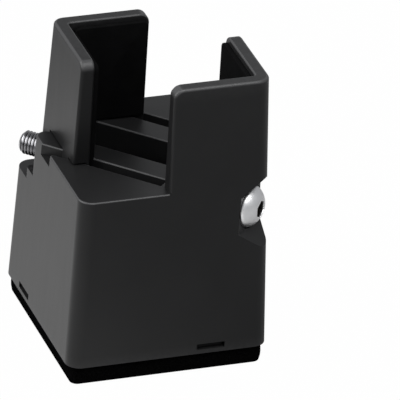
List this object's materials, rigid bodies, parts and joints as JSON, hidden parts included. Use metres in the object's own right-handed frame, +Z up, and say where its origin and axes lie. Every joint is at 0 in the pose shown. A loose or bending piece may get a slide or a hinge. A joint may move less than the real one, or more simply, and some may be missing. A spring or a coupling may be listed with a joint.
{
  "type": "bed riser",
  "caption": "Tall square bed riser with a fixed corner jaw and a sliding corner jaw that a screw draws in to clamp a bed leg.",
  "frame": {"origin": "centre of the foot pad's underside, on the floor", "axes": "+X to the right along the front face, +Y towards the back, +Z up; the screw runs from the front right corner (+X, -Y) to the back left"},
  "size_m": [0.104, 0.104, 0.158],
  "materials": {
    "tower_plastic": "satin moulded black",
    "jaw_plastic": "satin moulded black",
    "plate_plastic": "satin moulded black",
    "screw_steel": "bright stainless steel",
    "nut_steel": "bright zinc",
    "pad_foam": "fine black foam",
    "liner_rubber": "matt black"
  },
  "bodies": {
    "tower": {"tower_body": "tower_plastic", "base_plate": "plate_plastic", "foot_pad": "pad_foam", "fixed_front_liner": "liner_rubber", "fixed_side_liner": "liner_rubber"},
    "jaw": {"sliding_jaw": "jaw_plastic", "jaw_nut": "nut_steel", "sliding_back_liner": "liner_rubber", "sliding_left_liner": "liner_rubber"},
    "screw": {"clamp_screw": "screw_steel"}
  },
  "joints": [
    {"name": "screw_turn", "type": "hinge", "parent": "tower", "child": "screw", "pos_m": [0, 0, 0.0852], "axis": [-0.7071, 0.7071, 0], "range_deg": [-2470, 7820]},
    {"name": "jaw_slide", "type": "slide", "parent": "tower", "child": "jaw", "axis": [0.7071, -0.7071, 0], "range_m": [-0.012, 0.038]}
  ],
  "couplings": [
    {"joint": "screw_turn", "follows": "jaw_slide", "rad_per_m": 3590.4}
  ]
}
